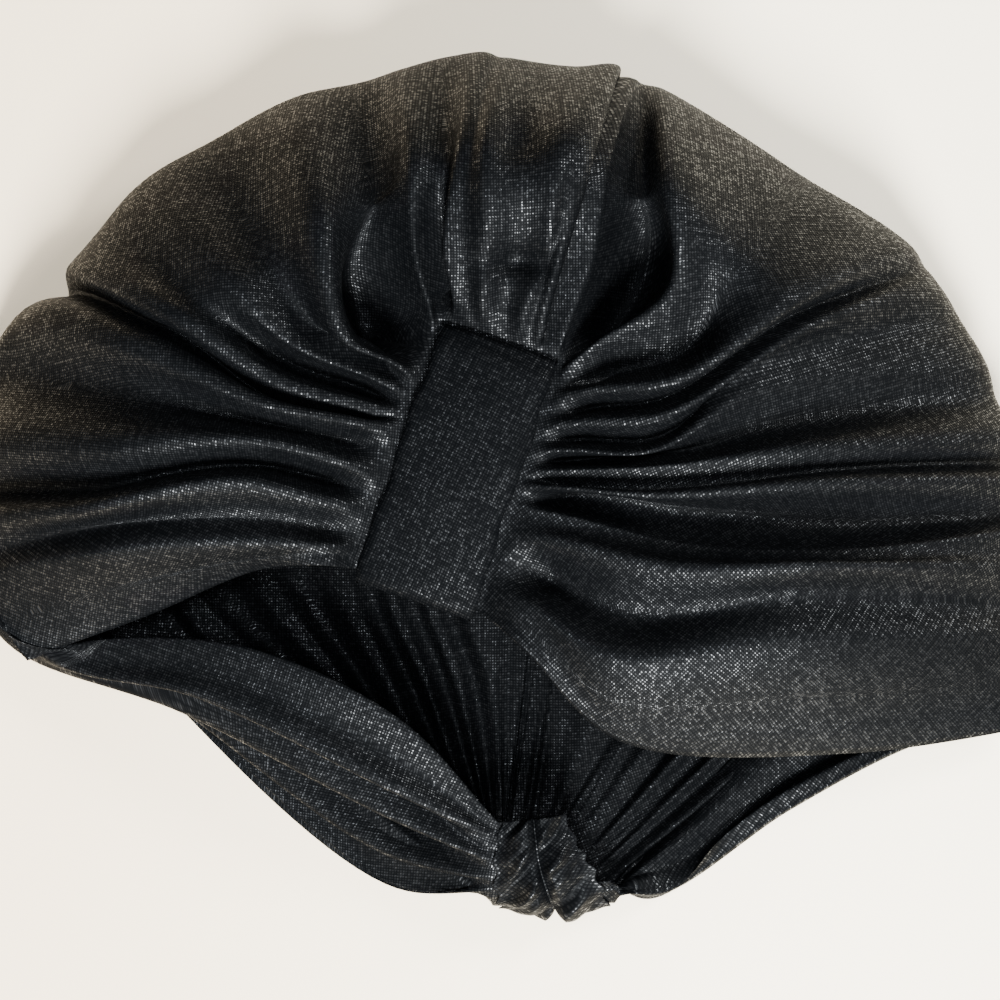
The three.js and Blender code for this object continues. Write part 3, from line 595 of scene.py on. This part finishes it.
def closed_cloth(name, face, back, weave, grain):
    """One closed body from the grids of a cloth's outer and inner face, with weave coordinates per corner."""
    rows, columns = face.shape[:2]
    vertices = np.concatenate([face.reshape(-1, 3), back.reshape(-1, 3)])
    at = np.arange(2 * rows * columns).reshape(2, rows, columns)
    o, i = at
    corners = (
        (o[:-1, :-1], o[:-1, 1:], o[1:, 1:], o[1:, :-1]),
        (i[:-1, :-1], i[1:, :-1], i[1:, 1:], i[:-1, 1:]),
        (o[0, :-1], i[0, :-1], i[0, 1:], o[0, 1:]),
        (o[-1, :-1], o[-1, 1:], i[-1, 1:], i[-1, :-1]),
        (o[:-1, 0], o[1:, 0], i[1:, 0], i[:-1, 0]),
        (o[:-1, -1], i[:-1, -1], i[1:, -1], o[1:, -1]),
    )
    quads = np.concatenate([np.stack(four, -1).reshape(-1, 4) for four in corners])[:, ::-1]
    flat = np.concatenate([weave.reshape(-1, 2)] * 2)
    column = quads % columns
    turn = np.radians(grain[column.min(axis=1)])[:, None]
    u, v = flat[quads][..., 0], flat[quads][..., 1]
    uvs = np.stack([u * np.cos(turn) - v * np.sin(turn), u * np.sin(turn) + v * np.cos(turn)], -1)
    return mesh_object(name, vertices, quads.tolist(), uvs)


def build_wrap():
    """The wrap as one closed body, its weave turned panel by panel."""
    face, back, base, rows, panels = wrap_faces()
    weave = unrolled(base, face, rows, panels)
    grain = np.array([p["grain"] for p in PLEATS], float)[panels]
    return closed_cloth("wrap_cloth", face, back, weave, grain)


def build_tab():
    """The tab with rolled edges, slight waves along its sides and its turn round the brow edge."""
    room = CLOTH_WALL + TAB_ROOM + 2 * LAYER_GAP
    bend = TAB_WALL + room / 2
    along, outer, inner, inner_along = [], [], [], []
    for step in range(TAB_STEPS["along"], 0, -1):
        along.append(TAB_LENGTH * step / TAB_STEPS["along"])
        inner_along.append(along[-1])
        outer.append(0.0)
        inner.append(-TAB_WALL)
    for step in range(TAB_STEPS["bend"] + 1):
        angle = math.pi * (0.5 - step / TAB_STEPS["bend"])
        along.append(-bend * math.cos(angle))
        inner_along.append(-room / 2 * math.cos(angle))
        outer.append(bend * math.sin(angle) - bend)
        inner.append(room / 2 * math.sin(angle) - bend)
    for step in range(1, TAB_STEPS["along"] + 1):
        along.append(TAB_LENGTH * step / TAB_STEPS["along"])
        inner_along.append(along[-1])
        outer.append(-2 * bend)
        inner.append(-TAB_WALL - room)
    side = np.linspace(-1, 1, TAB_STEPS["across"] + 1)
    side = np.sign(side) * (1 - (1 - np.abs(side)) ** TAB_EDGE["crowd"])
    a = np.array(along)[:, None]
    ia = np.array(inner_along)[:, None]
    wave = sum(height * np.sin(a / length + phase) for height, length, phase in TAB_EDGE["waves"])
    half = TAB_HALF_WIDTH + wave * np.abs(side)[None, :] ** 3
    across = side[None, :] * half
    edge = np.clip((np.abs(side) - 1) / TAB_EDGE["rolled"] + 1, 0, 1)
    crown = TAB_EDGE["roll"] * edge ** TAB_EDGE["round"]
    upper = (np.arange(len(along)) < TAB_STEPS["along"] + TAB_STEPS["bend"] / 2)[:, None]
    thin = smooth((a / TAB_LENGTH - 1) / TAB_EDGE["thin_end"] + 1) * upper
    top = np.array(outer)[:, None] - TAB_EDGE["thin"] * thin
    low = np.array(inner)[:, None]
    sign = np.where(upper, 1.0, -1.0)
    quilt = TAB_QUILT["height"] * np.sin(a / TAB_QUILT["length"] + side * TAB_QUILT["lean"]) * upper
    quilt = quilt * np.sin(side * TAB_QUILT["across"] + TAB_QUILT["phase"])
    outer_face = tab_point(a, across, top - sign * crown + quilt)
    inner_face = tab_point(ia, across, low + sign * crown * TAB_EDGE["inner"])
    weave = np.stack(np.broadcast_arrays(across, np.where(upper, a, -a - 2 * bend)), -1)
    grain = np.full(len(side), TAB_GRAIN)
    return closed_cloth("tab_band", outer_face, inner_face, weave, grain)


def build_nape():
    """The gathered bunch over the back seam: two rows of small pleats on both sides of a sunk seam."""
    steps, sides = NAPE_STEPS["along"], NAPE_STEPS["across"]
    along = np.linspace(0, NAPE_LENGTH, steps + 1)[:, None]
    side = np.linspace(-1, 1, sides + 1)[None, :]
    share = along / NAPE_LENGTH
    fan = share + np.where(side < 0, NAPE_FAN["left"], NAPE_FAN["right"]) * np.abs(side)
    height = np.zeros((steps + 1, sides + 1))
    for turns, phase, weight in NAPE_FAN["waves"]:
        height = height + weight * np.sin(2 * math.pi * (turns * fan + phase))
    groove = np.clip(np.abs(side) / NAPE_FAN["groove"], 0, 1) ** NAPE_FAN["sharp"]
    fall = smooth((1 - np.abs(side)) / NAPE_FAN["fall"])
    lift = (NAPE_FAN["crown"] + height) * groove * fall - NAPE_FAN["sunk"] * (1 - groove)
    lift = lift - (1 - fall) * (NAPE_WALL - NAPE_FAN["edge"])
    tooth = NAPE_FAN["teeth"] * share + NAPE_FAN["apart"] * np.sign(side)
    width = NAPE_HALF_WIDTH * (1 + NAPE_FAN["ragged"] * np.sin(2 * math.pi * tooth))
    outer = nape_point(along, side * width, lift)
    inner = nape_point(along, side * width, np.full_like(lift, -NAPE_WALL))
    outer[..., 2] = np.maximum(outer[..., 2], 0)
    weave = np.stack(np.broadcast_arrays(side * NAPE_HALF_WIDTH, along), -1)
    return closed_cloth("nape_bunch", outer, inner, weave, np.full(sides + 1, NAPE_GRAIN))


class Nodes:
    """Short calls for building a material."""

    def __init__(self, name):
        self.material = bpy.data.materials.new(name)
        self.material.use_nodes = True
        self.tree = self.material.node_tree
        self.shader = self.tree.nodes["Principled BSDF"]

    def add(self, kind, **inputs):
        node = self.tree.nodes.new(kind)
        for key, value in inputs.items():
            self.put(node, key, value)
        return node

    def put(self, node, key, value):
        socket = node.inputs[key.replace("_", " ")] if isinstance(key, str) else node.inputs[key]
        if isinstance(value, bpy.types.NodeSocket):
            self.tree.links.new(value, socket)
        else:
            socket.default_value = value

    def maths(self, operation, a, b=None, clamp=False):
        node = self.tree.nodes.new("ShaderNodeMath")
        node.operation = operation
        node.use_clamp = clamp
        self.put(node, 0, a)
        if b is not None:
            self.put(node, 1, b)
        return node.outputs[0]

    def noise(self, vector, scale, detail=2.0, roughness=0.5):
        node = self.add("ShaderNodeTexNoise", Scale=scale, Detail=detail, Roughness=roughness)
        self.put(node, "Vector", vector)
        return node.outputs["Fac"]

    def ramp(self, value, low, high, out_low=0.0, out_high=1.0):
        node = self.tree.nodes.new("ShaderNodeMapRange")
        node.interpolation_type = "SMOOTHSTEP"
        for key, number in (("From Min", low), ("From Max", high), ("To Min", out_low), ("To Max", out_high)):
            node.inputs[key].default_value = number
        self.put(node, "Value", value)
        return node.outputs["Result"]


def woven_black(name, gloss):
    """Black plain weave: threads over and under, uneven slubs, and a gloss that differs between crossings.

    Its colour has painted shade in the low threads and painted sheen on the raised threads, with painted
    glints on random crossings, besides the real tone of the slubs and the grain.
    """
    n = Nodes(name)
    uv = n.tree.nodes.new("ShaderNodeUVMap")
    uv.uv_map = "weave"
    axes = n.add("ShaderNodeSeparateXYZ", Vector=uv.outputs["UV"])
    across, along = axes.outputs[0], axes.outputs[1]
    threads = 1 / THREAD_PITCH
    frequency = math.pi / THREAD_PITCH
    warp = n.maths("SINE", n.maths("MULTIPLY", across, frequency))
    weft = n.maths("SINE", n.maths("MULTIPLY", along, frequency))
    crossing = n.maths("MULTIPLY", warp, weft)
    over = n.maths("ABSOLUTE", crossing)

    def stretched(x, y, scale):
        vector = n.tree.nodes.new("ShaderNodeCombineXYZ")
        n.put(vector, 0, n.maths("MULTIPLY", across, x))
        n.put(vector, 1, n.maths("MULTIPLY", along, y))
        return n.noise(vector.outputs[0], scale, 1.0)

    slub_warp = stretched(threads, SLUBS["run"], SLUBS["scale"])
    slub_weft = stretched(SLUBS["run"], threads, SLUBS["scale"])
    slub = n.maths("ADD", slub_warp, slub_weft)
    grain = stretched(threads, threads, GRAIN_SCALE)
    cell = n.tree.nodes.new("ShaderNodeCombineXYZ")
    for axis, value in ((0, across), (1, along)):
        n.put(cell, axis, n.maths("FLOOR", n.maths("MULTIPLY", value, threads)))
    white = n.tree.nodes.new("ShaderNodeTexWhiteNoise")
    white.noise_dimensions = "2D"
    n.put(white, "Vector", cell.outputs[0])
    spark = white.outputs["Value"]
    position = n.tree.nodes.new("ShaderNodeTexCoord").outputs["Object"]
    cloud = n.noise(position, **CLOUDS)

    # Thread tone for colour, roughness and gloss: real slubs and grain, with painted sheen on the raised
    # threads and painted glints on random crossings (spark)
    light = n.maths("MULTIPLY", n.ramp(slub, 0.65, 1.35, 0.3, 1.2), n.ramp(over, 0.1, 0.9, 0.15, 1.0))
    light = n.maths("MULTIPLY", light, n.ramp(grain, 0.35, 0.7, 0.5, 1.2))
    light = n.maths("MULTIPLY", light, n.ramp(n.maths("MULTIPLY", spark, spark), 0.0, 1.0, 0.35, 1.4))
    # Base colour: painted shade in the low threads, painted sheen and glints on the raised ones
    mix = n.tree.nodes.new("ShaderNodeMix")
    mix.data_type = "RGBA"
    mix.inputs["A"].default_value = SHADED_LOW_THREAD_BLACK
    mix.inputs["B"].default_value = SHEEN_RAISED_THREAD_BLACK
    n.put(mix, "Factor", light)
    n.put(n.shader, "Base Color", mix.outputs["Result"])

    rough = n.ramp(light, 0.0, 0.8, ROUGHNESS["low"], ROUGHNESS["raised"])
    n.put(n.shader, "Roughness", n.maths("ADD", rough, n.ramp(cloud, 0.3, 0.7, 0.05, -0.03)))
    n.put(n.shader, "Specular IOR Level", n.ramp(light, 0.0, 1.0, gloss * 0.1, gloss))
    n.shader.inputs["Specular Tint"].default_value = COOL_GLOSS

    height = n.maths("MULTIPLY", over, RELIEF["over"])
    for part, share in ((slub, "slub"), (grain, "grain"), (n.maths("MULTIPLY", spark, over), "spark")):
        height = n.maths("ADD", height, n.maths("MULTIPLY", part, RELIEF[share]))
    bump = n.add("ShaderNodeBump", Strength=RELIEF["strength"], Distance=RELIEF["distance"], Height=height)
    n.put(n.shader, "Normal", bump.outputs["Normal"])
    return n.material


def pale_floor():
    """A pale warm surface with painted light: darker to the left in painted shade, lighter to the right."""
    n = Nodes("pale_surface")
    position = n.tree.nodes.new("ShaderNodeTexCoord").outputs["Object"]
    cloud = n.noise(position, 3.0, 2.0)
    mix = n.tree.nodes.new("ShaderNodeMix")
    mix.data_type = "RGBA"
    mix.inputs["A"].default_value = FLOOR_SHADED_LEFT
    mix.inputs["B"].default_value = FLOOR_LIT_RIGHT
    # Painted light across the floor: the shaded colour on the left turns into the lit colour on the right
    side = n.ramp(n.add("ShaderNodeSeparateXYZ", Vector=position).outputs[0], -0.14, 0.12, 0.0, 0.95)
    n.put(mix, "Factor", n.maths("ADD", side, n.ramp(cloud, 0.3, 0.7, -0.03, 0.05), clamp=True))
    n.put(n.shader, "Base Color", mix.outputs["Result"])
    n.shader.inputs["Roughness"].default_value = 0.6
    return n.material


def build_stage():
    """The floor that the turban lies on."""
    bpy.ops.mesh.primitive_plane_add(size=FLOOR_SIZE, location=(0, 0, 0))
    floor = bpy.context.object
    floor.name = "surface"
    floor.data.materials.append(pale_floor())


def area_light(name, at, aim, size, watts, colour):
    """A round soft light at one point that faces another."""
    light = bpy.data.lights.new(name, "AREA")
    light.shape = "DISK"
    light.size = size
    light.energy = watts
    light.color = colour
    lamp = bpy.data.objects.new(name, light)
    lamp.location = at
    direction = Vector(aim) - Vector(at)
    lamp.rotation_euler = direction.to_track_quat("-Z", "Y").to_euler()
    bpy.context.scene.collection.objects.link(lamp)


def build_lights():
    """The even light of the room and its soft lights."""
    world = bpy.data.worlds.new("soft_room")
    world.use_nodes = True
    back = world.node_tree.nodes["Background"]
    back.inputs["Color"].default_value = ROOM_COLOUR
    back.inputs["Strength"].default_value = ROOM_STRENGTH
    bpy.context.scene.world = world
    for light in LIGHTS:
        area_light(**light)


def build_camera():
    """The camera at the photo's viewing angle, with the photo's scale at the aim."""
    data = bpy.data.cameras.new("photo_view")
    data.sensor_width = SENSOR
    data.lens = SENSOR * CAMERA_DISTANCE / MM_PER_PIXEL / PICTURE_SIZE
    camera = bpy.data.objects.new("photo_view", data)
    aim = (np.array(CAMERA_AIM) + SHIFT) * MM
    away = np.array([0, -math.cos(CAMERA_ELEVATION), math.sin(CAMERA_ELEVATION)])
    camera.location = aim + away * CAMERA_DISTANCE * MM
    camera.rotation_euler = (math.pi / 2 - CAMERA_ELEVATION, 0, 0)
    bpy.context.scene.collection.objects.link(camera)
    bpy.context.scene.camera = camera


def dress(piece, node, material):
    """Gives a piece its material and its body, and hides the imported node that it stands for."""
    piece.data.materials.append(material)
    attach(piece, "root")
    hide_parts(node)


build_camera()
build_lights()
build_stage()

cloth = woven_black("woven_black_cloth", WRAP_GLOSS)
wrap = build_wrap()
dress(wrap, "pleated_wrap", cloth)
tab = build_tab()
dress(tab, "front_tab", woven_black("woven_black_tab", TAB_GLOSS))
nape = build_nape()
dress(nape, "nape_gather", cloth)
